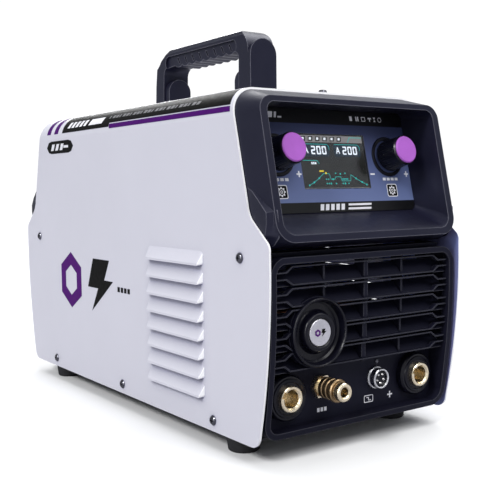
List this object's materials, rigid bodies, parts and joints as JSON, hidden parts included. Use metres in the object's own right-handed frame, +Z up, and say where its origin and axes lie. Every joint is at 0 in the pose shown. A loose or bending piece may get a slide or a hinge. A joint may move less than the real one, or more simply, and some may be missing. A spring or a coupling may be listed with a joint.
{
  "type": "tig welding machine",
  "caption": "Portable inverter TIG welding power source with steel cover, moulded ends, top handle, display panel and front sockets.",
  "frame": {"origin": "on the floor, under the middle of the whole machine's footprint, mains lead stub included", "axes": "+Z up; -Y out of the front face with the display; +X to the right when looking at the front; +Y to the rear"},
  "size_m": [0.1984, 0.4888, 0.3305],
  "materials": {
    "cover_paint": "fine semi-gloss powder coat",
    "dark_plastic": "fine spark-textured moulding",
    "dark_gloss": "smooth moulding",
    "overlay_film": "printed polyester film",
    "clear_window": "clear window",
    "display_grey": "display glass",
    "board_green": "solder-masked fibreglass",
    "purple_cap": "satin moulding",
    "steel": "zinc-plated",
    "dark_steel": "blackened screws",
    "nylon": "natural nylon",
    "nylon_black": "black nylon",
    "brass": "turned brass",
    "bronze": "darkened turned brass",
    "plated": "nickel-plated",
    "silver_pins": "silver-plated",
    "badge_silver": "satin metal film",
    "pan_steel": "dark powder coat",
    "foot_rubber": "moulded rubber",
    "lead_rubber": "round rubber sheath",
    "hose_rubber": "braided rubber hose",
    "red_rocker": "moulded rocker",
    "aluminium": "extruded",
    "epoxy_black": "moulded epoxy",
    "cap_sleeve": "shrink sleeve",
    "ferrite": "sintered",
    "winding_tape": "polyester tape over wire",
    "copper": "enamelled copper"
  },
  "bodies": {
    "case": {"badge_bezel": "dark_gloss", "badge_disc": "badge_silver", "base_pan": "pan_steel", "board_posts": "brass", "bus_capacitors": "cap_sleeve", "cable_gland": "nylon_black", "case_screws": "dark_steel", "control_board": "board_green", "control_overlay": "overlay_film", "cover": "cover_paint", "display_hood": "dark_plastic", "fan_frame": "dark_plastic", "fan_guard": "steel", "feet": "foot_rubber", "foot_screws": "steel", "front_frame": "dark_plastic", "front_screw": "dark_steel", "gas_coupler_body": "brass", "gas_hoses": "hose_rubber", "gas_inlet": "brass", "gas_valve_body": "brass", "handle": "dark_plastic", "handle_screws": "steel", "heatsinks": "aluminium", "hf_coil": "copper", "lcd_module": "display_grey", "lcd_window": "clear_window", "left_dial_ring": "dark_gloss", "left_encoder": "dark_gloss", "left_socket_collar": "dark_gloss", "left_socket_insert": "brass", "mains_lead": "lead_rubber", "output_busbars": "copper", "output_choke": "copper", "panel_nuts": "steel", "power_board": "board_green", "power_transistors": "epoxy_black", "rear_panel": "dark_plastic", "right_dial_ring": "dark_gloss", "right_encoder": "dark_gloss", "right_socket_collar": "dark_gloss", "right_socket_insert": "brass", "switch_housing": "dark_gloss", "torch_connector_core": "dark_gloss", "torch_connector_pins": "silver_pins", "torch_connector_shell": "plated", "transformer_core": "ferrite", "transformer_winding": "winding_tape"},
    "left_push_stem": {"left_encoder_plunger": "nylon"},
    "left_knob_turning": {"left_encoder_shaft": "steel", "left_knob": "dark_gloss", "left_knob_cap": "purple_cap"},
    "right_push_stem": {"right_encoder_plunger": "nylon"},
    "right_knob_turning": {"right_encoder_shaft": "steel", "right_knob": "dark_gloss", "right_knob_cap": "purple_cap"},
    "fan": {"fan_rotor": "dark_plastic"},
    "rocker": {"switch_rocker": "red_rocker"},
    "coupler_sleeve": {"gas_coupler_sleeve": "bronze"},
    "valve_plunger": {"gas_valve_plunger": "steel"}
  },
  "joints": [
    {"name": "left_knob_push", "type": "slide", "parent": "case", "child": "left_push_stem", "axis": [0, 0.9736, -0.2284], "range_m": [0, 0.0005]},
    {"name": "left_knob_turn", "type": "hinge", "parent": "left_push_stem", "child": "left_knob_turning", "pos_m": [-0.056, -0.19689, 0.2194], "axis": [0, -0.9736, 0.2284], "continuous": true},
    {"name": "right_knob_push", "type": "slide", "parent": "case", "child": "right_push_stem", "axis": [0, 0.9736, -0.2284], "range_m": [0, 0.0005]},
    {"name": "right_knob_turn", "type": "hinge", "parent": "right_push_stem", "child": "right_knob_turning", "pos_m": [0.056, -0.19689, 0.2194], "axis": [0, -0.9736, 0.2284], "continuous": true},
    {"name": "fan_spin", "type": "hinge", "parent": "case", "child": "fan", "pos_m": [0, 0.16608, 0.084], "axis": [0, 1, 0], "continuous": true},
    {"name": "switch_rock", "type": "hinge", "parent": "case", "child": "rocker", "pos_m": [-0.048, 0.18301, 0.20536], "axis": [1, 0, 0], "range_deg": [0, 18]},
    {"name": "coupler_release", "type": "slide", "parent": "case", "child": "coupler_sleeve", "axis": [0, 1, 0], "range_m": [0, 0.0025]},
    {"name": "valve_lift", "type": "slide", "parent": "case", "child": "valve_plunger", "axis": [0, 0, 1], "range_m": [0, 0.002]}
  ]
}
